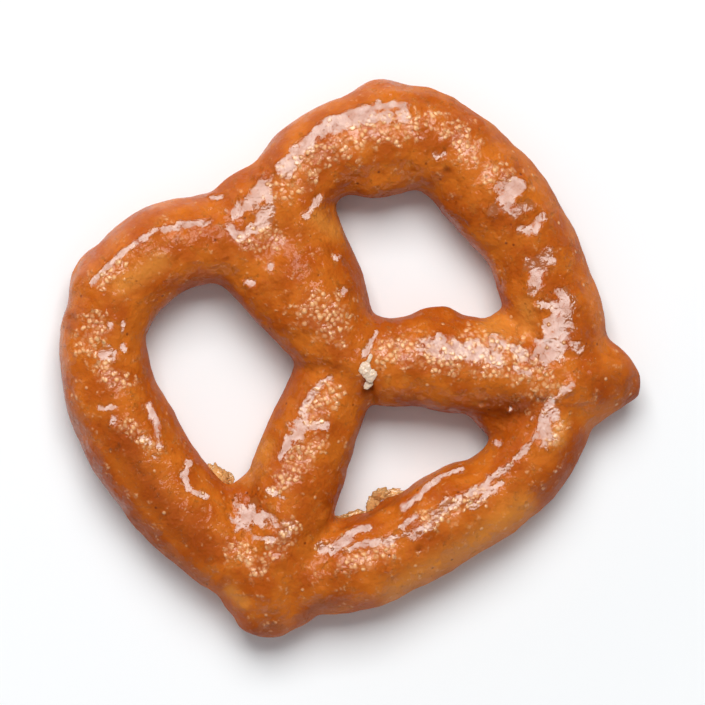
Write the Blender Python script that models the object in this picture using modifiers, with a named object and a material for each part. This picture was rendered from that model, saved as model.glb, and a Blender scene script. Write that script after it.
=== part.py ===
"""A small glazed pretzel: one strand of dough, twisted once, with both ends pressed onto its base.

Metres, +Z up. The pretzel lies on its baked side, and the origin is on the surface that it rests on, under
the middle of its outline. +Y points to the notch between the two humps and +X runs across them.
"""

import math

import bmesh
import bpy
from mathutils import Matrix, Vector

MM = 0.001

# Height of the strand's middle line where it lies on the baking belt, which flattens its underside.
BED = 3.1

# The dough strand's route, as stations in millimetres: x, y, height of its middle line, radius.
# It starts at the left end, runs up through the twist into the right hump, goes round the outside, and
# comes back from the left hump, over itself at the twist, to the right end.
STATIONS = (
    (-18.0, -15.4, 2.7, 1.6),  # left end
    (-16.7, -14.0, 3.0, 2.6),
    (-14.6, -12.0, 3.6, 3.4),
    (-11.4, -9.0, 3.7, 3.7),
    (-8.2, -6.1, 3.3, 3.9),
    (-4.7, -3.5, 3.1, 3.7),  # left leg, going under at the twist
    (-1.0, -0.3, 3.0, 3.4),
    (1.1, 3.9, 3.0, 3.6),
    (2.2, 9.5, BED, 3.6),
    (3.8, 13.8, BED, 3.8),  # notch
    (7.4, 14.9, BED, 3.8),  # right hump
    (11.1, 14.1, BED, 4.1),
    (14.1, 12.7, BED, 4.2),
    (16.6, 9.2, BED, 4.0),
    (17.5, 5.0, BED, 4.15),
    (18.0, 0.5, BED, 3.9),  # right side
    (17.2, -4.2, BED, 3.8),
    (16.3, -8.2, BED, 3.7),
    (13.2, -12.0, BED, 3.5),
    (9.6, -14.8, BED, 3.6),
    (5.2, -16.2, BED, 3.5),
    (0.8, -15.8, BED, 4.0),  # base
    (-4.0, -15.8, BED, 3.7),
    (-7.8, -15.1, BED, 3.9),
    (-12.4, -12.9, BED, 3.5),
    (-15.6, -9.7, BED, 3.7),
    (-17.3, -5.0, BED, 3.9),
    (-18.1, 0.5, BED, 4.0),
    (-18.0, 5.0, BED, 4.0),  # left side
    (-16.7, 10.2, BED, 3.7),
    (-14.1, 13.4, BED, 3.6),
    (-9.0, 15.3, BED, 3.9),  # left hump
    (-5.2, 14.6, 3.2, 3.8),
    (-2.4, 12.8, 3.4, 3.8),  # notch
    (-1.4, 9.0, 3.6, 3.5),
    (-0.5, 4.3, 3.8, 3.5),
    (0.7, 0.6, 3.8, 3.5),
    (3.2, -2.4, 3.6, 3.7),  # right leg, coming out on top of the twist
    (5.6, -3.7, 3.6, 3.9),
    (8.1, -5.7, 3.5, 4.1),
    (12.0, -9.0, 3.8, 3.6),
    (16.0, -12.1, 3.6, 3.3),
    (18.4, -14.0, 3.0, 2.1),
    (19.5, -14.8, 2.8, 1.4),  # right end
)

# Where dough and glaze filled a corner: x, y, height, length, width, thickness, turn in degrees.
FILLS = (
    (0.8, 14.4, 3.2, 10.0, 6.4, 7.2, 0.0),  # saddle under the notch
    (0.4, 6.0, 3.9, 8.4, 15.0, 7.8, 0.0),  # front of the twist
    (13.1, 14.3, 3.1, 7.6, 7.6, 7.4, 0.0),  # shoulder of the right hump
    (10.9, 11.9, 3.1, 9.8, 5.6, 6.8, -28.0),  # inner side of the right hump
    (-12.6, 14.8, 3.1, 7.8, 7.8, 7.2, 0.0),  # shoulder of the left hump
    (9.0, -10.2, 2.6, 5.6, 6.4, 5.0, 20.0),  # lower right corner
    (-10.0, -10.6, 2.8, 5.0, 5.0, 5.4, 0.0),  # lower left corner
    (-15.4, -13.4, 3.0, 7.4, 6.8, 6.2, 45.0),  # left end, pressed onto the base
    (-14.2, -13.9, 3.0, 6.6, 6.4, 6.0, 0.0),
    (-16.4, -12.2, 3.0, 5.6, 5.6, 6.2, 0.0),
    (16.7, -12.5, 3.1, 7.0, 6.8, 6.2, -25.0),  # right end, pressed onto the base
    (15.0, -13.3, 3.0, 5.4, 5.2, 5.8, 0.0),
    (7.6, -1.6, 3.4, 5.2, 3.2, 3.4, -14.0),  # swelling on the right leg
    (-3.2, -12.9, 2.8, 3.2, 2.8, 2.4, 20.0),  # lip on the base
    (12.6, -5.0, 3.0, 3.2, 3.0, 3.6, -40.0),  # crotch under the right opening
    (-12.4, -5.4, 3.0, 3.4, 3.2, 3.6, 30.0),  # crotch under the left opening
)

GRAIN = 0.34 * MM  # fineness of the fused body
SOFTENING = 8  # passes that round the creases, as glaze does
LUMP_SIZE = 3.2 * MM
LUMP_HEIGHT = 0.4 * MM
KEPT_FACES = 0.11


def clear_scene():
    for thing in list(bpy.data.objects):
        bpy.data.objects.remove(thing, do_unlink=True)


def make_collection(name):
    made = bpy.data.collections.new(name)
    bpy.context.scene.collection.children.link(made)
    return made


def glaze_material():
    """Golden brown crust under a clear caramel glaze."""
    made = bpy.data.materials.new("caramel_glaze")
    made.use_nodes = True
    shader = made.node_tree.nodes["Principled BSDF"]
    shader.inputs["Base Color"].default_value = (0.52, 0.16, 0.025, 1.0)
    shader.inputs["Roughness"].default_value = 0.22
    shader.inputs["Metallic"].default_value = 0.0
    return made


def as_mesh(helper):
    """The helper object's shape as a plain mesh, with its modifiers applied. The helper is removed."""
    bpy.context.scene.collection.objects.link(helper)
    bpy.context.view_layer.update()
    graph = bpy.context.evaluated_depsgraph_get()
    made = bpy.data.meshes.new_from_object(helper.evaluated_get(graph))
    bpy.data.objects.remove(helper, do_unlink=True)
    return made


def strand_mesh():
    """The strand as a closed tube along its stations, which passes through itself at the twist."""
    curve = bpy.data.curves.new("strand", "CURVE")
    curve.dimensions = "3D"
    curve.bevel_depth = 1.0 * MM
    curve.bevel_resolution = 6
    curve.resolution_u = 10
    curve.use_fill_caps = True
    spline = curve.splines.new("BEZIER")
    spline.radius_interpolation = "CARDINAL"
    spline.bezier_points.add(len(STATIONS) - 1)
    for point, (x, y, height, radius) in zip(spline.bezier_points, STATIONS):
        point.co = Vector((x, y, height)) * MM
        point.radius = radius
        point.handle_left_type = point.handle_right_type = "AUTO"
    return as_mesh(bpy.data.objects.new("strand", curve))


def dough_mesh():
    """The strand and the fills in one mesh, each still a closed shell of its own."""
    body = bmesh.new()
    body.from_mesh(strand_mesh())
    bmesh.ops.remove_doubles(body, verts=body.verts, dist=0.01 * MM)
    for x, y, height, length, width, thickness, turn in FILLS:
        place = (
            Matrix.Translation(Vector((x, y, height)) * MM)
            @ Matrix.Rotation(math.radians(turn), 4, "Z")
            @ Matrix.Diagonal((length / 2, width / 2, thickness / 2, 1))
        )
        bmesh.ops.create_icosphere(body, subdivisions=3, radius=1.0 * MM, matrix=place)
    made = bpy.data.meshes.new("dough")
    body.to_mesh(made)
    body.free()
    return made


def keep_outer_skin(mesh):
    """Removes the pockets that the fusing sealed in: every shell of faces but the largest."""
    body = bmesh.new()
    body.from_mesh(mesh)
    shells = []
    unseen = set(body.verts)
    while unseen:
        shell = {unseen.pop()}
        edge_of_shell = list(shell)
        while edge_of_shell:
            here = edge_of_shell.pop()
            near = {edge.other_vert(here) for edge in here.link_edges} & unseen
            unseen -= near
            shell |= near
            edge_of_shell.extend(near)
        shells.append(shell)
    shells.sort(key=len)
    for shell in shells[:-1]:
        bmesh.ops.delete(body, geom=list(shell), context="VERTS")
    body.to_mesh(mesh)
    body.free()


def fused_mesh():
    """The dough as one skin, with its crossings grown together."""
    rough = bpy.data.objects.new("dough", dough_mesh())
    fuse = rough.modifiers.new("Fuse", "REMESH")
    fuse.mode = "VOXEL"
    fuse.voxel_size = GRAIN
    fuse.use_smooth_shade = True
    made = as_mesh(rough)
    made.name = "pretzel"
    keep_outer_skin(made)
    return made


def lumps(name, size):
    made = bpy.data.textures.new(name, "CLOUDS")
    made.noise_scale = size
    made.noise_depth = 1
    return made


def belt(cutters):
    """The flat belt that the pretzel is baked on, as a block below the origin."""
    mesh = bpy.data.meshes.new("belt")
    block = bmesh.new()
    bmesh.ops.create_cube(block, size=1.0)
    bmesh.ops.scale(block, vec=(60 * MM, 60 * MM, 10 * MM), verts=block.verts)
    bmesh.ops.translate(block, vec=(0, 0, -5 * MM), verts=block.verts)
    block.to_mesh(mesh)
    block.free()
    made = bpy.data.objects.new("belt", mesh)
    made.hide_render = True
    made.display_type = "WIRE"
    cutters.objects.link(made)
    return made


def middle_of_outline(mesh):
    """The middle of the mesh's box, seen from above."""
    across = [vertex.co.x for vertex in mesh.vertices]
    along = [vertex.co.y for vertex in mesh.vertices]
    return Vector((min(across) + max(across), min(along) + max(along), 0.0)) / 2


def make_pretzel(parts, cutters):
    mesh = fused_mesh()
    mesh.transform(Matrix.Translation(-middle_of_outline(mesh)))
    mesh.materials.append(glaze_material())
    pretzel = bpy.data.objects.new("pretzel", mesh)
    parts.objects.link(pretzel)

    soften = pretzel.modifiers.new("Soften", "SMOOTH")
    soften.factor = 0.5
    soften.iterations = SOFTENING

    uneven = pretzel.modifiers.new("Uneven", "DISPLACE")
    uneven.texture = lumps("lumps", LUMP_SIZE)
    uneven.texture_coords = "LOCAL"
    uneven.strength = LUMP_HEIGHT
    uneven.mid_level = 0.5

    thin_out = pretzel.modifiers.new("ThinOut", "DECIMATE")
    thin_out.ratio = KEPT_FACES

    flat = pretzel.modifiers.new("BakedFlat", "BOOLEAN")
    flat.operation = "DIFFERENCE"
    flat.object = belt(cutters)
    flat.solver = "EXACT"
    return pretzel


clear_scene()
make_pretzel(make_collection("pretzel"), make_collection("cutters"))
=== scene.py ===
"""A small crunchy pretzel under a glossy caramel glaze, lying flat on a white table.

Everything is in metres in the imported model's own frame: +Z up, +Y towards the notch between the two humps.
Lists of places on the pretzel are in millimetres, as x and y seen from above.
"""

import math

import bpy
import numpy as np
from mathutils import Matrix, Vector, noise


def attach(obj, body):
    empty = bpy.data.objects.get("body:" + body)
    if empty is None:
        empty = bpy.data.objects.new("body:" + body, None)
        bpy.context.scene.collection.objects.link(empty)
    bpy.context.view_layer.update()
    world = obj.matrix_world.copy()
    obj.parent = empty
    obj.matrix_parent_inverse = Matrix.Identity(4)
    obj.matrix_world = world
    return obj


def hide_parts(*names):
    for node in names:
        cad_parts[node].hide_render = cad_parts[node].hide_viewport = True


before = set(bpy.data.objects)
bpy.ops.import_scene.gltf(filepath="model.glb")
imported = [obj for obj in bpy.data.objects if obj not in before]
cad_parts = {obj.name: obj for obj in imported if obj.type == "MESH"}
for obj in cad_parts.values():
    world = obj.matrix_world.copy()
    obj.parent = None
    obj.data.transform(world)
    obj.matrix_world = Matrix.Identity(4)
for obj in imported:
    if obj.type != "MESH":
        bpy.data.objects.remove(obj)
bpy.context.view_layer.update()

# The camera looks almost straight down from far away, a few degrees from the notch's side.
# The picture is turned on the table, so that the notch points up and to the right in it.
MM = 0.001
PICTURE_UP = math.radians(58)
CAMERA_PLACE = Vector((-3.2, 69.9, 690.0)) * MM
LOOKED_AT = Vector((1.06, 0.2, 3.0)) * MM

lens = bpy.data.cameras.new("camera")
lens.lens = 430
lens.sensor_width = 36
lens.clip_start = 0.01
camera = bpy.data.objects.new("camera", lens)
bpy.context.scene.collection.objects.link(camera)
backward = (CAMERA_PLACE - LOOKED_AT).normalized()
upward = Vector((math.cos(PICTURE_UP), math.sin(PICTURE_UP), 0))
rightward = upward.cross(backward).normalized()
turned = Matrix((rightward, backward.cross(rightward), backward)).transposed().to_4x4()
camera.matrix_world = Matrix.Translation(CAMERA_PLACE) @ turned
bpy.context.scene.camera = camera

# A white table top, lit by one large soft window on the notch's side and a weak sheet of light overhead.
# Two low white boards, one opposite the window, put a soft sheen on the pretzel's sides. The room beyond
# is dim, so that the glaze keeps its deep colour where it doesn't mirror the window.
bpy.ops.object.select_all(action="DESELECT")
bpy.ops.mesh.primitive_plane_add(size=6, location=(0, 0, 0))
table = bpy.context.object
table.name = "table_top"
white = bpy.data.materials.new("white_table")
white.use_nodes = True
paper = white.node_tree.nodes["Principled BSDF"]
paper.inputs["Base Color"].default_value = (0.89, 0.905, 0.925, 1)
paper.inputs["Roughness"].default_value = 0.6
paper.inputs["Specular IOR Level"].default_value = 0.2
table.data.materials.append(white)


def hang_light(name, azimuth, elevation, distance, width, height, power, colour):
    """A rectangular lamp that faces the pretzel from that side and that high."""
    lamp = bpy.data.lights.new(name, "AREA")
    lamp.shape = "RECTANGLE"
    lamp.size = width
    lamp.size_y = height
    lamp.energy = power
    lamp.color = colour
    hung = bpy.data.objects.new(name, lamp)
    bpy.context.scene.collection.objects.link(hung)
    round_z = math.radians(azimuth)
    up = math.radians(elevation)
    away = Vector((math.cos(up) * math.cos(round_z), math.cos(up) * math.sin(round_z), math.sin(up)))
    hung.location = away * distance
    hung.rotation_euler = away.to_track_quat("Z", "Y").to_euler()


LAMPS = (
    # name, azimuth and elevation in degrees, distance, width and height in metres, watts, colour
    ("window", 62, 56, 0.9, 0.60, 0.50, 8.75, (1.0, 1.0, 0.98)),
    ("overhead", 150, 84, 1.3, 1.60, 1.60, 2.20, (0.97, 0.98, 1.0)),
    ("white_board", -115, 10, 0.6, 0.50, 0.12, 0.60, (1.0, 0.98, 0.98)),
    ("far_board", 112, 12, 0.6, 0.80, 0.22, 0.75, (1.0, 0.97, 0.98)),
)
for row in LAMPS:
    hang_light(*row)

world = bpy.data.worlds.new("dim_room")
world.use_nodes = True
room = world.node_tree.nodes["Background"]
room.inputs["Color"].default_value = (0.95, 0.97, 1.0, 1)
room.inputs["Strength"].default_value = 0.18
bpy.context.scene.world = world
bpy.context.scene.view_settings.view_transform = "Standard"
bpy.context.scene.view_settings.look = "None"

# The pretzel itself: one strand of baked dough, its crossings and ends grown together in the oven, then
# tumbled in hot caramel that set as a thin clear glaze, thicker in the creases and on the humps.
SKIN_GRAIN = 0.225 * MM
SKIN_SOFTENING = 11  # passes that round the skin once it is fused
BAKED_FLAT = 0.25  # millimetres above the table below which the underside is left flat
RELIEF_FADE = 0.8  # millimetres over which the relief sets in above that

bpy.ops.object.select_all(action="DESELECT")
pretzel = bpy.data.objects.new("glazed_pretzel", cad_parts["pretzel"].data.copy())
bpy.context.scene.collection.objects.link(pretzel)
bpy.context.view_layer.objects.active = pretzel
pretzel.select_set(True)
bpy.ops.object.mode_set(mode="EDIT")
bpy.ops.mesh.select_all(action="SELECT")
bpy.ops.mesh.remove_doubles(threshold=0.001 * MM)
bpy.ops.object.mode_set(mode="OBJECT")
pretzel.data.materials.clear()


def finish_modifier(thing, name):
    """Applies one of the thing's modifiers."""
    bpy.ops.object.select_all(action="DESELECT")
    thing.select_set(True)
    bpy.context.view_layer.objects.active = thing
    bpy.ops.object.modifier_apply(modifier=name)


def soften(thing, passes):
    """Evens out the thing's skin, as a liquid coat does before it sets."""
    smooth = thing.modifiers.new("Soften", "SMOOTH")
    smooth.factor = 0.5
    smooth.iterations = passes
    finish_modifier(thing, "Soften")


fuse = pretzel.modifiers.new("Fuse", "REMESH")
fuse.mode = "VOXEL"
fuse.voxel_size = SKIN_GRAIN
fuse.use_smooth_shade = True
finish_modifier(pretzel, "Fuse")
soften(pretzel, SKIN_SOFTENING)


def read_skin(thing):
    """The thing's points and the directions that they face, in millimetres."""
    count = len(thing.data.vertices)
    points = np.empty(count * 3, np.float32)
    thing.data.vertices.foreach_get("co", points)
    facing = np.empty(count * 3, np.float32)
    thing.data.vertex_normals.foreach_get("vector", facing)
    return points.reshape(-1, 3).astype(float) / MM, facing.reshape(-1, 3).astype(float)


def write_skin(thing, points):
    thing.data.vertices.foreach_set("co", (points * MM).astype(np.float32).reshape(-1))
    thing.data.update()


def roughen(points, size, octaves, seed):
    """Smooth random relief from about -1 to 1, with lumps of that size in millimetres."""
    shift = Vector((seed * 17.3, seed * 5.1, seed * 9.7))
    return np.array([noise.fractal(Vector(p) / size + shift, 1.0, 2.0, octaves) for p in points])


def rising(values, start, over):
    """0 up to the start, and from there to 1 over that much more."""
    return np.clip((values - start) / over, 0, 1)


VIEW_LEAN = 0.7  # how much nearer the notch the places lie than they look from the camera
STEP = 0.15  # millimetres between places


def along(line):
    """Places every step along a line of places that was read from the camera's view."""
    line = [(x, y + VIEW_LEAN) for x, y in line]
    places = []
    for (x0, y0), (x1, y1) in zip(line[:-1], line[1:]):
        count = max(1, round(math.hypot(x1 - x0, y1 - y0) / STEP))
        places += [(x0 + (x1 - x0) * i / count, y0 + (y1 - y0) * i / count) for i in range(count)]
    return np.array(places + [line[-1]])


def nearest_place(points, places):
    """For each point, how far off the nearest of the places is, seen from above, and which one it is."""
    near = np.full(len(points), np.inf)
    which = np.zeros(len(points), int)
    for index, (x, y) in enumerate(places):
        away = np.hypot(points[:, 0] - x, points[:, 1] - y)
        closer = away < near
        near[closer] = away[closer]
        which[closer] = index
    return near, which


def fading(near, width):
    """1 at no distance, falling smoothly to 0 at width."""
    share = np.clip(1 - near / width, 0, 1)
    return share * share * (3 - 2 * share)


def beside(points, line, width):
    """For each point, 1 on the line and 0 at width from it."""
    return fading(nearest_place(points, along(line))[0], width)


def faces_up(facing):
    """1 on the upper side and 0 on the walls and below."""
    return rising(facing[:, 2], 0.15, 0.25)


points, facing = read_skin(pretzel)
upper = rising(points[:, 2], BAKED_FLAT, RELIEF_FADE)

# Creases where strands meet: half width, depth, and the places along them.
CREASES = (
    (0.80, 0.16, ((-4.1, 1.4), (-2.9, 0.5), (-1.4, -0.1), (-0.4, -1.2), (0.2, -2.6))),
    (0.70, 0.16, ((4.3, 1.4), (3.4, 0.0), (2.2, -0.8), (1.2, -1.9), (0.6, -3.4))),
    (0.70, 0.30, ((0.2, -4.6), (0.5, -3.4))),
    (0.70, 0.22, ((-14.6, -16.6), (-13.9, -14.8), (-13.2, -13.4), (-13.4, -12.2))),
    (0.60, 0.12, ((12.9, -8.2), (12.6, -10.0), (12.9, -11.6))),
    (0.80, 0.20, ((1.9, 17.9), (1.5, 16.9), (1.1, 16.2))),
    (0.60, 0.14, ((-4.2, 18.4), (-3.2, 16.8), (-2.6, 15.4))),
    (0.60, 0.12, ((13.2, -4.2), (13.6, -5.6), (12.9, -7.0))),
    (0.50, 0.14, ((13.7, 18.0), (14.0, 17.2), (14.4, 16.4))),
    (0.55, 0.16, ((-19.0, -10.0), (-17.8, -9.6), (-16.9, -9.0))),
)

# Folds that run along the base, and swellings of glaze: half width, height, places.
FOLDS = (
    (0.45, 0.20, ((-9.8, -12.0), (-7.4, -12.5), (-5.4, -12.8), (-2.0, -12.9))),
    (0.45, 0.16, ((-1.8, -12.9), (1.2, -12.7), (3.4, -13.1))),
    (0.40, 0.20, ((-8.8, -12.9), (-6.4, -14.3), (-3.4, -14.3), (0.2, -14.5), (3.0, -14.9), (6.0, -15.0))),
    (0.35, 0.16, ((-2.6, -15.3), (0.8, -15.4), (4.4, -15.6))),
    (0.40, 0.18, ((5.8, -14.7), (9.6, -14.1), (11.4, -12.9), (13.0, -11.9), (14.8, -11.8))),
    (0.35, 0.16, ((-13.6, 16.4), (-11.0, 17.0), (-8.8, 17.1), (-6.0, 16.6), (-3.2, 15.4))),
    (0.80, 0.25, ((5.6, -0.6), (8.4, -0.6), (9.8, -1.6))),
    (0.35, 0.14, ((14.4, 16.5), (16.2, 15.2), (18.0, 13.5), (19.3, 11.8), (19.9, 10.0))),
    (0.35, 0.12, ((-18.2, 13.6), (-16.6, 15.6), (-14.4, 17.0))),
)

# Thin feet of glaze that ran down to the tray inside the openings: width, and the places along them.
FEET = (
    (0.55, ((13.6, 5.8), (13.9, 2.8), (14.4, 0.0), (14.3, -2.6))),
    (0.45, ((3.6, -7.0), (5.2, -8.4), (6.6, -10.0), (6.8, -11.6))),
    (0.45, ((-12.2, 10.3), (-9.4, 11.2), (-6.2, 10.8), (-4.9, 9.0), (-4.3, 5.8))),
    (0.35, ((-6.6, -12.0), (-4.4, -12.3), (-1.4, -12.1), (2.2, -12.4))),
)
FOOT_HEIGHT = 1.1  # millimetres above the tray at which a foot starts to spread
FOOT_REACH = 1.6  # millimetres to each side of its line

# Small pits: x, y, radius, depth.
PITS = (
    (14.4, -8.5, 0.35, 0.25),
    (7.0, -2.8, 0.40, 0.25),
    (10.7, -6.3, 0.40, 0.25),
    (1.0, -14.8, 0.40, 0.20),
    (-3.0, -16.8, 0.45, 0.30),
    (15.4, 8.3, 0.45, 0.30),
    (-6.1, 15.4, 0.30, 0.20),
    (-16.9, 14.3, 0.50, 0.20),
    (11.0, 12.6, 0.30, 0.15),
    (-10.4, -13.9, 0.35, 0.20),
    (0.4, -3.6, 0.60, 0.35),
)

# Random lumps in the crust: height, size, octaves, seed.
CRUST_LUMPS = (
    (0.08, 2.6, 2, 1),
    (0.04, 0.9, 3, 2),
)

marks = np.zeros(len(points))
for width, depth, line in CREASES:
    marks -= depth * beside(points, line, width)
for width, height, line in FOLDS:
    marks += height * beside(points, line, width)
for x, y, radius, depth in PITS:
    marks -= depth * beside(points, ((x, y),), radius)
lumps = sum(high * roughen(points, size, octaves, seed) for high, size, octaves, seed in CRUST_LUMPS)
relief = (lumps + marks * faces_up(facing)) * upper
points += facing * relief[:, None]

sideways = facing * (1, 1, 0)
low = np.clip(1 - points[:, 2] / FOOT_HEIGHT, 0, 1) ** 2
for width, line in FEET:
    uneven = 1 + 0.5 * roughen(points, 0.8, 2, 7)
    foot = width * low * np.clip(beside(points, line, FOOT_REACH) * 2, 0, 1) * uneven
    points += sideways * foot[:, None]
write_skin(pretzel, points)
points, facing = read_skin(pretzel)

# Plates of glaze that set smooth, each facing nearly the same way: half width, and the places along them.
PLATES = (
    (1.2, ((-0.9, 14.6), (0.4, 14.7), (1.6, 14.9), (2.3, 15.6))),
    (0.9, ((1.9, 14.6), (1.6, 13.4), (0.9, 13.2))),
    (1.0, ((-0.3, 12.8), (1.0, 12.6))),
    (0.7, ((-2.0, 13.9), (-1.8, 12.7))),
    (1.0, ((4.2, 15.4), (6.2, 16.1), (7.0, 16.3))),
    (0.7, ((7.0, 16.3), (8.0, 16.45), (9.2, 16.4))),
    (0.9, ((9.6, 16.3), (11.6, 15.9))),
    (1.0, ((11.6, 15.7), (13.4, 14.9), (15.0, 14.2))),
    (0.6, ((4.0, 15.8), (6.2, 16.55), (8.0, 16.8), (10.0, 16.8), (12.0, 16.3), (13.8, 15.6), (15.3, 14.7))),
    (0.5, ((3.7, 11.4), (4.6, 11.7), (5.6, 12.0))),
    (1.35, ((18.8, 4.9), (19.4, 4.2))),
    (1.0, ((18.3, 3.8), (20.0, 4.1))),
    (0.75, ((16.9, 3.8), (17.8, 3.4))),
    (0.8, ((18.4, 2.6), (19.7, 2.4))),
    (0.8, ((18.1, 0.9), (18.9, 0.5), (20.0, 0.9))),
    (1.3, ((17.2, -2.3), (18.3, -2.0))),
    (0.9, ((17.0, -2.8), (16.4, -3.7))),
    (1.6, ((14.0, -8.6), (15.6, -7.9), (16.8, -7.1), (17.4, -6.4), (18.1, -5.6))),
    (1.2, ((15.0, -8.9), (16.8, -8.2))),
    (1.0, ((15.5, -7.2), (16.7, -6.4), (17.7, -5.8))),
    (0.7, ((16.6, -9.0), (16.9, -9.7))),
    (0.8, ((6.2, -2.5), (6.8, -3.4), (7.8, -3.1))),
    (1.3, ((7.8, -4.1), (9.2, -5.1), (10.6, -6.4))),
    (0.8, ((11.3, -5.3), (12.0, -6.4), (12.8, -7.8))),
    (0.5, ((11.6, -8.2), (12.3, -9.2))),
    (1.2, ((-6.2, -3.2), (-5.4, -2.7))),
    (0.6, ((-8.3, -4.2), (-7.2, -3.5), (-6.4, -3.2))),
    (0.7, ((-5.6, -3.2), (-4.1, -4.0))),
    (0.5, ((-5.0, -2.0), (-3.6, -1.3), (-1.7, -0.8))),
    (1.8, ((-13.5, -6.9), (-13.0, -6.8))),
    (1.0, ((-13.0, -7.2), (-12.2, -8.1))),
    (0.5, ((-14.7, -7.4), (-13.6, -7.3))),
    (0.5, ((-13.8, -8.7), (-12.6, -9.6))),
    (0.8, ((-11.6, -9.8), (-10.9, -9.3))),
    (0.4, ((-10.8, -6.0), (-10.0, -7.2))),
    (0.45, ((-15.0, -0.7), (-15.9, -1.3), (-16.2, -2.4), (-15.4, -3.8))),
    (0.45, ((-15.3, 5.1), (-15.6, 3.6), (-16.3, 1.7))),
    (0.4, ((-18.8, 7.0), (-17.7, 6.4))),
    (1.0, ((-16.2, 10.6), (-15.8, 10.4))),
    (0.5, ((-17.3, 3.0), (-16.9, 2.6))),
    (0.4, ((-13.8, 16.0), (-11.7, 16.6), (-9.5, 16.9), (-7.4, 16.9), (-5.2, 16.1))),
    (0.55, ((-5.4, 16.2), (-3.2, 15.1))),
    (0.8, ((-9.6, -12.3), (-8.8, -13.1), (-7.4, -12.9))),
    (0.5, ((-7.6, -12.9), (-6.4, -12.7), (-5.4, -13.1))),
    (0.5, ((-8.2, -13.6), (-6.4, -14.0), (-4.6, -14.8), (-3.0, -15.2))),
    (0.4, ((-3.2, -14.4), (-1.6, -14.3))),
    (0.7, ((-2.9, -15.6), (-1.2, -15.4), (0.0, -15.0))),
    (0.45, ((-2.2, -13.3), (-0.4, -13.1), (0.4, -13.0))),
    (0.5, ((0.4, -12.9), (2.0, -12.7), (3.6, -13.2))),
    (0.9, ((0.4, -14.9), (2.0, -15.0))),
    (0.6, ((2.0, -14.9), (4.0, -15.2), (6.0, -14.9))),
    (0.5, ((2.6, -16.1), (4.2, -15.9), (5.5, -15.7))),
    (0.4, ((6.4, -15.0), (8.2, -14.6), (10.2, -13.9))),
    (1.5, ((10.9, -14.4), (11.4, -13.4), (12.2, -12.7))),
    (0.6, ((12.2, -12.7), (12.8, -12.1))),
    (0.5, ((13.2, -12.1), (14.8, -11.9))),
    (0.5, ((-14.5, 10.1),)),
    (0.4, ((-13.9, 11.3), (-13.5, 11.9))),
    (0.6, ((-14.5, 12.2),)),
    (0.4, ((-18.6, 5.5), (-18.2, 5.8))),
    (0.4, ((-17.3, 1.3), (-17.0, 1.0))),
    (0.5, ((-3.2, 9.4), (-2.8, 9.0))),
    (0.6, ((-0.9, 9.5),)),
    (0.6, ((4.0, 7.2),)),
    (0.6, ((3.1, 4.6),)),
    (0.6, ((15.3, 10.0), (15.7, 9.6))),
    (0.5, ((7.1, -13.0),)),
    (0.4, ((7.7, -9.5),)),
    (0.4, ((9.5, -11.0),)),
    (0.6, ((16.0, -4.9), (16.4, -5.2))),
    (0.6, ((18.9, -2.6),)),
    (0.4, ((-2.0, 16.6), (-1.3, 16.2))),
    (0.4, ((1.6, -0.9), (2.4, -0.4), (3.6, 0.2))),
)
PLATE_TILT = math.radians(17)
PLATE_TURN = math.radians(64)
TILT_SPREAD = math.radians(2.5)  # how much the plates' tilts and turns differ
TURN_SPREAD = math.radians(8)
RAGGED_EDGE = 0.45  # share of its half width by which a plate's edge wanders
EVENED = 3  # places on each side over which a plate's height is evened out
DEEPEST_CUT = 0.40  # millimetres that a plate may lower or raise the skin
FLATNESS = 0.72  # how far a plate's coat faces its own way rather than the skin's
NARROW = 0.75  # millimetres of half width below which a plate counts as narrow
NARROW_FLATNESS = 0.92


def facing_way(tilt, turn):
    return np.array((math.sin(tilt) * math.cos(turn), math.sin(tilt) * math.sin(turn), math.cos(tilt)))


def heights_at(places, points):
    """The skin's height at each of the places, evened out along them."""
    heights = [points[np.hypot(points[:, 0] - x, points[:, 1] - y).argmin(), 2] for x, y in places]
    evening = np.ones(2 * EVENED + 1) / (2 * EVENED + 1)
    return np.convolve(np.pad(heights, EVENED, mode="edge"), evening, mode="valid")


ragged = RAGGED_EDGE * roughen(points, 0.8, 3, 3)
plate = np.zeros(len(points))
set_way = facing.copy()  # the way that the hard coat faces at each point
top_side = faces_up(facing)
for number, (width, line) in enumerate(PLATES):
    leaning = facing_way(
        PLATE_TILT + TILT_SPREAD * math.sin(number * 2.4),
        PLATE_TURN + TURN_SPREAD * math.cos(number * 1.7),
    )
    places = along(line)
    near, which = nearest_place(points, places)
    share = fading(near + ragged * width, width) * top_side
    touched = np.flatnonzero(share > 0.001)
    nearest = which[touched]
    gap_x = points[touched, 0] - places[nearest, 0]
    gap_y = points[touched, 1] - places[nearest, 1]
    sloping = (leaning[0] * gap_x + leaning[1] * gap_y) / leaning[2]
    wanted = heights_at(places, points[touched])[nearest] - sloping
    moved = np.clip(wanted - points[touched, 2], -DEEPEST_CUT, DEEPEST_CUT)
    firm = np.clip(share * 3, 0, 1)
    points[touched, 2] += moved * firm[touched]
    flatness = NARROW_FLATNESS if width < NARROW else FLATNESS
    set_way += (leaning - set_way) * (flatness * firm)[:, None]
    plate = np.maximum(plate, share)
set_flat = np.clip(plate * 4, 0, 1)
write_skin(pretzel, points)
soften(pretzel, 1)
points, facing = read_skin(pretzel)
points[:, 2] = np.maximum(points[:, 2], 0.0)
write_skin(pretzel, points)

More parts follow.
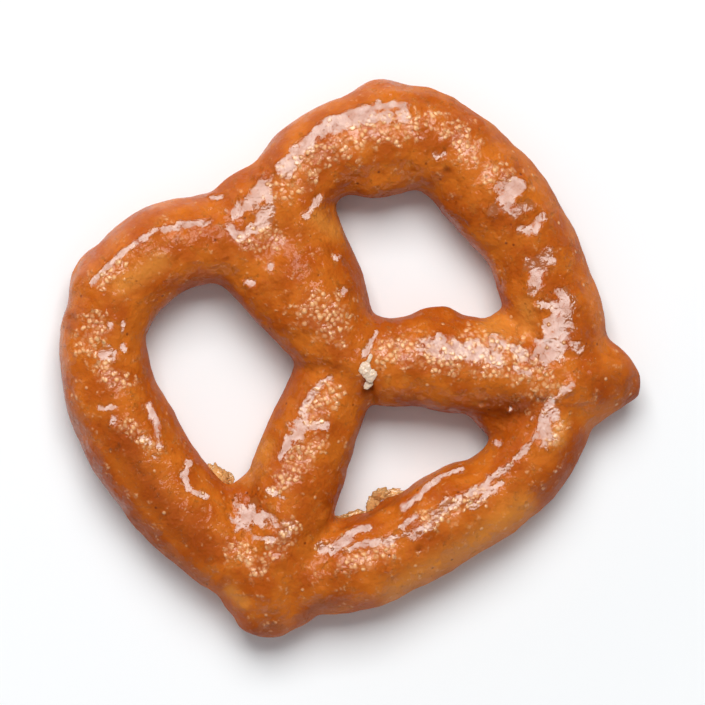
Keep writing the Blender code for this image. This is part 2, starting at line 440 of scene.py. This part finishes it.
# Patches where sugar grains show through the glaze, their pale tint partly painted glints: half width, and
# the places along them.
GRAINY = (
    (2.0, ((3.4, 14.2), (6.0, 14.8), (9.0, 14.6), (12.4, 14.2), (14.6, 13.2))),
    (1.7, ((16.8, 12.2), (17.8, 10.8), (17.9, 9.0), (17.4, 8.4))),
    (2.5, ((-0.2, 4.6), (1.2, 3.8), (1.0, 2.6))),
    (1.5, ((-1.6, 12.2), (0.4, 11.4), (1.0, 10.8))),
    (2.1, ((3.6, -1.6), (6.0, -3.2), (8.6, -5.4), (10.6, -7.4), (12.4, -9.2), (12.8, -11.0))),
    (1.5, ((10.0, -4.0), (12.0, -6.4), (13.0, -8.6))),
    (1.6, ((-2.2, -2.0), (-4.4, -2.8))),
    (1.4, ((-9.6, -6.0), (-7.6, -5.2), (-5.2, -5.0))),
    (1.7, ((-17.0, 12.0), (-15.4, 13.0))),
    (1.4, ((-17.2, 9.4), (-16.0, 8.0))),
    (1.4, ((-16.0, -8.8), (-15.2, -9.2), (-15.0, -11.0))),
    (1.5, ((-12.8, -10.4), (-11.0, -9.6))),
    (1.2, ((-17.4, 4.4), (-16.8, 2.2))),
    (1.1, ((-13.0, 15.6), (-11.0, 16.0))),
    (1.3, ((-8.6, -14.6), (-5.0, -15.6))),
    (1.3, ((-1.0, -15.0), (3.6, -15.6))),
    (1.0, ((11.0, -15.0), (12.0, -14.4))),
    (1.3, ((18.2, 6.4), (19.4, 5.6))),
    (1.2, ((12.8, -7.8), (13.4, -9.8))),
)

# Places painted darker: ends that baked browner, and painted shade on walls that face away from the window,
# in the groove, pits and creases.
DARKER = (
    (2.2, ((-19.0, 5.0), (-18.8, -3.0), (-18.0, -7.0))),
    (2.4, ((16.8, -13.4), (18.8, -14.4))),
    (2.0, ((-16.4, -15.6), (-17.8, -15.6))),
    (1.8, ((18.0, -16.0), (20.0, -15.6))),
    (2.2, ((9.0, -10.0), (10.2, -10.8), (11.0, -11.2))),
    (0.6, ((15.4, 8.3),)),
    (0.6, ((-2.9, -16.8),)),
    (0.5, ((-6.1, 15.4),)),
    (0.8, ((-16.9, 14.4), (-17.4, 13.8))),
    (2.0, ((-20.8, 12.0), (-21.8, 4.0), (-21.4, -4.0), (-19.8, -9.4))),
    (1.6, ((13.0, -16.8), (8.4, -18.6))),
    (1.4, ((-13.6, -16.4), (-10.4, -16.6))),
    (0.9, ((0.2, -3.6), (0.9, -3.0))),
)

# Paler golden places, among them painted light on the base's lower wall, which faces away from the window.
PALER = (
    (2.2, ((-6.4, -18.6), (0.0, -18.8), (6.0, -18.4))),
    (0.9, ((-17.8, -11.4), (-17.4, -13.0))),
    (1.6, ((-8.4, 14.6), (-12.0, 14.6))),
    (1.2, ((11.4, -15.2), (12.4, -14.2))),
    (1.6, ((11.8, -4.4), (13.4, -5.6))),
    (1.4, ((15.0, -4.6), (14.0, -6.2))),
    (1.4, ((-11.6, -4.4), (-9.0, -2.9))),
    (1.2, ((4.4, 10.8), (5.2, 8.8))),
)

# Sides of the humps, where the coat stays glossy down to the table.
RIMS = (
    (1.6, ((-21.6, -1.0), (-21.6, 4.0), (-20.9, 9.0), (-18.6, 13.4))),
    (1.6, ((-18.6, 13.4), (-15.6, 16.8), (-11.6, 18.2), (-7.6, 18.7))),
    (1.6, ((-7.6, 18.7), (-4.6, 18.0), (-2.0, 16.8))),
    (1.4, ((3.4, 17.6), (6.4, 18.4), (10.2, 18.3), (13.6, 17.6), (16.4, 16.0))),
)
SUGAR_LEAN = 0.3  # how far the coat over sugar grains turns towards the window


def paint(thing, name, values):
    """Stores one number or one direction at each of the thing's points, for its material to read."""
    if values.ndim == 1:
        stored = thing.data.attributes.new(name, "FLOAT", "POINT")
        stored.data.foreach_set("value", values.astype(np.float32))
    else:
        stored = thing.data.attributes.new(name, "FLOAT_VECTOR", "POINT")
        stored.data.foreach_set("vector", values.astype(np.float32).reshape(-1))


def patch_of(rows):
    """One number at each point: 1 inside the rows' patches, on all sides of the strand."""
    return np.max([beside(points, line, width) for width, line in rows], axis=0)


grainy = patch_of(GRAINY) * upper
paint(pretzel, "plate", plate)
paint(pretzel, "grainy", grainy)
paint(pretzel, "darker", patch_of(DARKER))
paint(pretzel, "paler", patch_of(PALER))
paint(pretzel, "underside", 1 - rising(points[:, 2], 0.05, 0.5))
paint(pretzel, "coated", rising(facing[:, 2], 0.20, 0.5))
paint(pretzel, "rim", patch_of(RIMS + FEET) * (1 - set_flat))
to_window = facing_way(PLATE_TILT, PLATE_TURN) - facing
grain_turn = SUGAR_LEAN * grainy * (1 - set_flat)
set_way = facing + (set_way - facing) * set_flat[:, None] + to_window * grain_turn[:, None]
paint(pretzel, "set_way", set_way)


def add_node(tree, kind, at, **settings):
    """A node of that kind, with its settings and its unlinked inputs given by name."""
    made = tree.nodes.new(kind)
    made.location = at
    for name, value in settings.items():
        if name in made.inputs:
            made.inputs[name].default_value = value
        else:
            setattr(made, name, value)
    return made


def read_paint(tree, name, at):
    return add_node(tree, "ShaderNodeAttribute", at, attribute_name=name).outputs["Fac"]


def noise_of(tree, where, size, at, detail=2.0, roughness=0.5):
    """Cloudy noise with features of that size in millimetres."""
    made = add_node(tree, "ShaderNodeTexNoise", at, Scale=1 / size, Detail=detail, Roughness=roughness)
    tree.links.new(where, made.inputs["Vector"])
    return made.outputs["Fac"]


def cells_of(tree, where, size, at):
    """Cells of that size in millimetres, each with a place of its own and a colour drawn at random."""
    made = add_node(tree, "ShaderNodeTexVoronoi", at, Scale=1 / size)
    tree.links.new(where, made.inputs["Vector"])
    return made.outputs


def remap(tree, value, low, high, at, to_low=0.0, to_high=1.0):
    made = add_node(tree, "ShaderNodeMapRange", at)
    made.interpolation_type = "SMOOTHSTEP"
    made.inputs["From Min"].default_value = low
    made.inputs["From Max"].default_value = high
    made.inputs["To Min"].default_value = to_low
    made.inputs["To Max"].default_value = to_high
    tree.links.new(value, made.inputs["Value"])
    return made.outputs["Result"]


def combine(tree, how, first, second, at):
    """Two numbers joined by a sum: MULTIPLY, ADD, SUBTRACT, MAXIMUM and so on."""
    made = add_node(tree, "ShaderNodeMath", at, operation=how)
    for socket, value in zip(made.inputs, (first, second)):
        if isinstance(value, float):
            socket.default_value = value
        else:
            tree.links.new(value, socket)
    return made.outputs["Value"]


def vectors(tree, how, first, second, at, result="Vector"):
    """Two vectors joined: ADD, SUBTRACT, DOT_PRODUCT and so on, or the first one by SCALE."""
    made = add_node(tree, "ShaderNodeVectorMath", at, operation=how)
    tree.links.new(first, made.inputs[0])
    if how == "SCALE":
        made.inputs["Scale"].default_value = second
    elif isinstance(second, tuple):
        made.inputs[1].default_value = second
    else:
        tree.links.new(second, made.inputs[1])
    return made.outputs[result]


def one_of_three(tree, colour, which, at):
    """One of a random colour's three numbers, from 0 to 1."""
    made = add_node(tree, "ShaderNodeSeparateColor", at)
    tree.links.new(colour, made.inputs["Color"])
    return made.outputs[which]


def tint(tree, share, below, above, at, strength=1.0):
    """The colour below, turned into the colour above by the share of that strength."""
    if strength < 1.0:
        share = combine(tree, "MULTIPLY", share, strength, (at[0] - 100, at[1] - 200))
    made = add_node(tree, "ShaderNodeMix", at, data_type="RGBA")
    tree.links.new(share, made.inputs["Factor"])
    for socket, value in ((made.inputs["A"], below), (made.inputs["B"], above)):
        if isinstance(value, tuple):
            socket.default_value = value
        else:
            tree.links.new(value, socket)
    return made.outputs["Result"]


GOLDEN = (0.56, 0.138, 0.011, 1)
CARAMEL = (0.43, 0.083, 0.005, 1)
# Toasted brown, also the colour of painted shade in the darker patches.
TOASTED_AND_SHADE = (0.27, 0.042, 0.003, 1)
HONEY = (0.68, 0.24, 0.038, 1)
SPECK = (0.13, 0.020, 0.005, 1)
# Pale sugar, which also stands in for painted glints on the grains.
SUGAR_AND_GLINT = (0.96, 0.57, 0.28, 1)
THICK_GLAZE = (0.29, 0.072, 0.007, 1)
UNDER_CRUST = (0.50, 0.21, 0.060, 1)


def glaze_material():
    """Baked crust under set caramel: mottled browns with painted shade and painted light, burnt specks,
    sugar grains that partly paint glints, and a crazed hard coat.
    """
    made = bpy.data.materials.new("caramel_glaze")
    made.use_nodes = True
    tree = made.node_tree
    shader = tree.nodes["Principled BSDF"]
    plate_share = read_paint(tree, "plate", (-3000, -400))
    grainy = read_paint(tree, "grainy", (-3000, -600))
    darker = read_paint(tree, "darker", (-3000, -800))
    paler = read_paint(tree, "paler", (-3000, -1000))
    underside = read_paint(tree, "underside", (-3000, -1200))
    coated = read_paint(tree, "coated", (-3000, -1400))
    rim = read_paint(tree, "rim", (-3000, -1600))
    set_way = add_node(tree, "ShaderNodeAttribute", (-600, -1600), attribute_name="set_way")

    # Places in millimetres, and the same bent a little, so that no cell has straight sides.
    placed = add_node(tree, "ShaderNodeTexCoord", (-3200, 200)).outputs["Object"]
    where = vectors(tree, "SCALE", placed, 1 / MM, (-3000, 200))
    swirl = add_node(tree, "ShaderNodeTexNoise", (-2800, 300), Scale=1 / 0.7, Detail=2.0)
    tree.links.new(where, swirl.inputs["Vector"])
    bend = vectors(tree, "SUBTRACT", swirl.outputs["Color"], (0.5, 0.5, 0.5), (-2600, 300))
    bent = vectors(tree, "ADD", where, vectors(tree, "SCALE", bend, 1.1, (-2450, 300)), (-2300, 200))
    stirred = vectors(tree, "ADD", where, vectors(tree, "SCALE", bend, 0.5, (-2450, 100)), (-2300, 50))

    blotches = noise_of(tree, where, 3.2, (-2100, 700), detail=3.0)
    mottle = noise_of(tree, where, 0.8, (-2100, 500), detail=5.0, roughness=0.7)
    ripple = noise_of(tree, where, 0.9, (-2100, 300), detail=3.0)
    fine = noise_of(tree, where, 0.26, (-2100, 100))
    facets = cells_of(tree, bent, 0.85, (-2100, -100))
    grains = cells_of(tree, stirred, 0.40, (-2100, -300))
    beads = cells_of(tree, where, 1.25, (-2100, -500))
    burns = cells_of(tree, where, 1.5, (-2100, -700))

    # Plates of smooth glaze, torn at their edges.
    tear = remap(tree, mottle, 0.3, 0.7, (-1800, -400), -0.40, 0.40)
    torn = combine(tree, "ADD", plate_share, tear, (-1600, -400))
    plate = remap(tree, torn, 0.20, 0.40, (-1450, -400))
    gloss = remap(tree, torn, 0.22, 0.72, (-1450, -500))

    # Round grains of sugar, sown in ragged patches.
    stray = remap(tree, ripple, 0.3, 0.7, (-1800, -600), -0.35, 0.35)
    sown = combine(tree, "ADD", grainy, stray, (-1600, -600))
    sandy = remap(tree, sown, 0.18, 0.50, (-1450, -600))
    chance = one_of_three(tree, grains["Color"], "Red", (-1900, -300))
    kept = remap(tree, chance, 0.10, 0.90, (-1750, -250), 0.2, 1.0)
    dome = remap(tree, grains["Distance"], 0.15, 0.72, (-1600, -200), 1.0, 0.0)
    grain = combine(tree, "MULTIPLY", dome, kept, (-1450, -200))
    crystal = combine(tree, "MULTIPLY", grain, sandy, (-1300, -250))

    # Single beads of sugar, and burnt specks.
    chance = one_of_three(tree, beads["Color"], "Red", (-1900, -500))
    kept = remap(tree, chance, 0.62, 0.67, (-1750, -500))
    ball = remap(tree, beads["Distance"], 0.04, 0.17, (-1600, -500), 1.0, 0.0)
    bead = combine(tree, "MULTIPLY", ball, kept, (-1300, -500))
    chance = one_of_three(tree, burns["Color"], "Green", (-1900, -700))
    kept = remap(tree, chance, 0.40, 0.45, (-1750, -700))
    spot = remap(tree, burns["Distance"], 0.02, 0.12, (-1600, -700), 1.0, 0.0)
    burn = combine(tree, "MULTIPLY", spot, kept, (-1300, -700))

    # Colour, from the crust up to the sugar on it.
    golden = remap(tree, blotches, 0.38, 0.62, (-1800, 700))
    toasted = remap(tree, mottle, 0.42, 0.30, (-1800, 600), to_high=0.25)
    honeyed = remap(tree, mottle, 0.52, 0.72, (-1800, 500), to_high=0.35)
    # The darker patches: browner baked ends, and painted shade on the walls that face away from the window,
    # in the groove, pits and creases.
    patchy_darkening = remap(tree, mottle, 0.2, 0.6, (-1800, 350), 0.35, 0.7)
    browned_and_shaded = combine(tree, "MULTIPLY", darker, patchy_darkening, (-1500, 300))
    # Sugar grains and beads tinted pale: their own white, and partly painted glints.
    pale_bead = combine(tree, "MULTIPLY", bead, 0.7, (-1100, 150))
    light = combine(tree, "MAXIMUM", crystal, pale_bead, (-900, 300))
    light = combine(tree, "MULTIPLY", light, coated, (-800, 350))
    skin = tint(tree, golden, CARAMEL, GOLDEN, (-1500, 700))
    skin = tint(tree, toasted, skin, TOASTED_AND_SHADE, (-1400, 650))
    skin = tint(tree, honeyed, skin, HONEY, (-1300, 600))
    # Paler patches, among them painted light on the base's lower wall.
    skin = tint(tree, paler, skin, HONEY, (-1100, 600), 0.75)
    skin = tint(tree, browned_and_shaded, skin, TOASTED_AND_SHADE, (-900, 600))
    skin = tint(tree, burn, skin, SPECK, (-700, 600), 0.75)
    skin = tint(tree, gloss, skin, THICK_GLAZE, (-600, 600), 0.75)
    skin = tint(tree, light, skin, SUGAR_AND_GLINT, (-500, 600), 0.85)
    skin = tint(tree, underside, skin, UNDER_CRUST, (-300, 600), 0.8)
    tree.links.new(skin, shader.inputs["Base Color"])

    dull = remap(tree, mottle, 0.3, 0.7, (-1000, -100), 0.34, 0.50)
    bare = remap(tree, coated, 0.0, 1.0, (-800, -200), 0.30, 0.0)
    tree.links.new(combine(tree, "ADD", dull, bare, (-600, -100)), shader.inputs["Roughness"])

    # The hard coat: it shines on plates and beads, less on rims, and some of its other cells stayed matt.
    chance = one_of_three(tree, facets["Color"], "Blue", (-1000, -300))
    cell = remap(tree, chance, 0.35, 0.75, (-800, -300), 0.5, 1.0)
    sugared = combine(tree, "MULTIPLY", sandy, 0.7, (-1100, -400))
    sugared = combine(tree, "MAXIMUM", sugared, 0.24, (-1000, -450))
    wet = combine(tree, "MULTIPLY", cell, sugared, (-800, -450))
    patchy = remap(tree, ripple, 0.35, 0.60, (-1000, -600), 0.60, 1.0)
    mirror = combine(tree, "MULTIPLY", gloss, patchy, (-800, -600))
    wet = combine(tree, "MAXIMUM", mirror, wet, (-600, -400))
    wet = combine(tree, "MAXIMUM", bead, wet, (-500, -400))
    wet = combine(tree, "MULTIPLY", coated, wet, (-400, -300))
    wet = combine(tree, "MAXIMUM", wet, 0.20, (-250, -300))
    rim_sheen = combine(tree, "MULTIPLY", rim, 0.6, (-250, -450))
    wet = combine(tree, "MAXIMUM", rim_sheen, wet, (-100, -300))
    tree.links.new(wet, shader.inputs["Coat Weight"])

    # Relief: each cell of the coat leans its own way, less so inside a plate, under ripples and grains.
    lean = vectors(tree, "SUBTRACT", facets["Color"], (0.5, 0.5, 0.5), (-1800, -900))
    aside = vectors(tree, "SUBTRACT", bent, facets["Position"], (-1800, -1050))
    sloped = vectors(tree, "DOT_PRODUCT", aside, lean, (-1600, -950), "Value")
    slope = remap(tree, plate, 0.0, 1.0, (-1600, -1100), 0.28, 0.11)
    height = combine(tree, "MULTIPLY", sloped, slope, (-1400, -1000))
    waves = combine(tree, "MULTIPLY", ripple, 0.12, (-1200, -1200))
    fine_waves = combine(tree, "MULTIPLY", fine, 0.04, (-1200, -1350))
    waves = combine(tree, "ADD", waves, fine_waves, (-1000, -1250))
    raised_grain = combine(tree, "MULTIPLY", crystal, 0.08, (-1000, -1400))
    waves = combine(tree, "ADD", waves, raised_grain, (-800, -1300))
    open_skin = remap(tree, plate, 0.0, 1.0, (-1400, -1200), 1.0, 0.4)
    waves = combine(tree, "MULTIPLY", waves, open_skin, (-650, -1250))
    height = combine(tree, "ADD", height, waves, (-500, -1100))
    raised_bead = combine(tree, "MULTIPLY", bead, 0.07, (-500, -1400))
    height = combine(tree, "ADD", height, raised_bead, (-350, -1150))
    sunk_burn = combine(tree, "MULTIPLY", burn, 0.04, (-350, -1400))
    height = combine(tree, "SUBTRACT", height, sunk_burn, (-200, -1200))

    # The relief lies on the way that the coat faces, which the skin's points carry.
    world_way = add_node(tree, "ShaderNodeVectorTransform", (-300, -1600), vector_type="NORMAL")
    world_way.convert_from = "OBJECT"
    world_way.convert_to = "WORLD"
    tree.links.new(set_way.outputs["Vector"], world_way.inputs["Vector"])
    bump = add_node(tree, "ShaderNodeBump", (0, -1100), Strength=0.9, Distance=MM)
    tree.links.new(height, bump.inputs["Height"])
    tree.links.new(world_way.outputs["Vector"], bump.inputs["Normal"])
    tree.links.new(bump.outputs["Normal"], shader.inputs["Normal"])
    tree.links.new(bump.outputs["Normal"], shader.inputs["Coat Normal"])

    shader.inputs["IOR"].default_value = 1.45
    shader.inputs["Specular IOR Level"].default_value = 0.05
    shader.inputs["Coat Roughness"].default_value = 0.10
    shader.inputs["Coat IOR"].default_value = 1.6
    shader.inputs["Subsurface Weight"].default_value = 0.12
    shader.inputs["Subsurface Radius"].default_value = (1.0, 0.35, 0.12)
    shader.inputs["Subsurface Scale"].default_value = 0.8 * MM
    return made


pretzel.data.materials.append(glaze_material())
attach(pretzel, "root")
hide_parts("pretzel")

# Slivers of clear glaze that stand out from the rims of the openings, broken off the film that set there.
# They are thin enough for light to come through.
SLIVERS = (
    # place, size, turn and lean in degrees
    ((-13.55, -2.35, 3.0), (2.1, 1.0, 0.30), 108, 20),
    ((-13.15, -3.30, 2.7), (1.3, 0.9, 0.28), 60, -25),
    ((-7.0, -10.95, 2.8), (1.5, 0.7, 0.25), -22, 25),
    ((-5.9, -11.30, 3.0), (1.7, 0.8, 0.25), -16, -20),
    ((-4.0, -11.15, 2.9), (1.6, 0.9, 0.28), 30, 18),
    ((-3.1, -10.95, 3.1), (1.3, 1.0, 0.28), -20, 15),
    ((-2.2, -11.45, 3.0), (1.6, 0.7, 0.25), -30, -22),
)
BROKEN = 0.55  # how ragged broken glaze is


def broken_bit(place, size, turn, lean, seed, torn):
    """A ragged bit at that place, in millimetres, with its long side turned and its face leaning."""
    bpy.ops.object.select_all(action="DESELECT")
    bpy.ops.mesh.primitive_ico_sphere_add(subdivisions=4, radius=MM)
    bit = bpy.context.object
    shape = read_skin(bit)[0]
    uneven = 1 + torn * roughen(shape, 0.5, 3, seed)
    write_skin(bit, shape * uneven[:, None] * np.array(size) / 2)
    bit.rotation_euler = (math.radians(lean), 0, math.radians(turn))
    bit.location = Vector(place) * MM
    bpy.ops.object.transform_apply(location=True, rotation=True, scale=True)
    return bit


def join_as(name, bits):
    bpy.ops.object.select_all(action="DESELECT")
    for bit in bits:
        bit.select_set(True)
    bpy.context.view_layer.objects.active = bits[0]
    bpy.ops.object.join()
    bits[0].name = name
    return bits[0]


slivers = join_as("glaze_slivers", [
    broken_bit(place, size, turn, lean, seed, BROKEN)
    for seed, (place, size, turn, lean) in enumerate(SLIVERS)
])
bpy.ops.object.shade_smooth()
film = bpy.data.materials.new("glaze_film")
film.use_nodes = True
clear = film.node_tree.nodes["Principled BSDF"]
clear.inputs["Base Color"].default_value = (0.92, 0.50, 0.18, 1)
clear.inputs["Roughness"].default_value = 0.12
clear.inputs["Transmission Weight"].default_value = 0.55
clear.inputs["IOR"].default_value = 1.5
slivers.data.materials.append(film)
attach(slivers, "root")

# A lump of sugar with a thin tail, caught where the strands cross: white, dry and crumbly.
SUGAR_LUMPS = (
    # x, y, how far its middle stands above the crust, size, turn in degrees
    (1.20, -1.10, 0.00, (1.3, 1.0, 0.45), 75),
    (1.35, -1.75, -0.02, (1.2, 0.9, 0.45), 20),
    (0.75, -2.35, -0.02, (0.9, 0.55, 0.35), 10),
    (1.95, -0.55, -0.02, (0.8, 0.35, 0.20), 35),
)
CRUMBLY = 0.28  # how ragged a lump of sugar is
SUGAR_SEED = 11


def crust_height(x, y, reach=0.3):
    """How high the crust's upper side is near that place, in millimetres."""
    away = np.hypot(points[:, 0] - x, points[:, 1] - y)
    return points[away < reach, 2].max()


sugar = join_as("sugar_lump", [
    broken_bit((x, y, crust_height(x, y) + proud), size, turn, 0, seed + SUGAR_SEED, CRUMBLY)
    for seed, (x, y, proud, size, turn) in enumerate(SUGAR_LUMPS)
])
dry = bpy.data.materials.new("dry_sugar")
dry.use_nodes = True
powder = dry.node_tree.nodes["Principled BSDF"]
powder.inputs["Base Color"].default_value = (0.74, 0.56, 0.42, 1)
powder.inputs["Roughness"].default_value = 0.25
powder.inputs["Subsurface Weight"].default_value = 0.25
powder.inputs["Subsurface Radius"].default_value = (1.0, 0.7, 0.4)
powder.inputs["Subsurface Scale"].default_value = 0.2 * MM
sugar.data.materials.append(dry)
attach(sugar, "root")
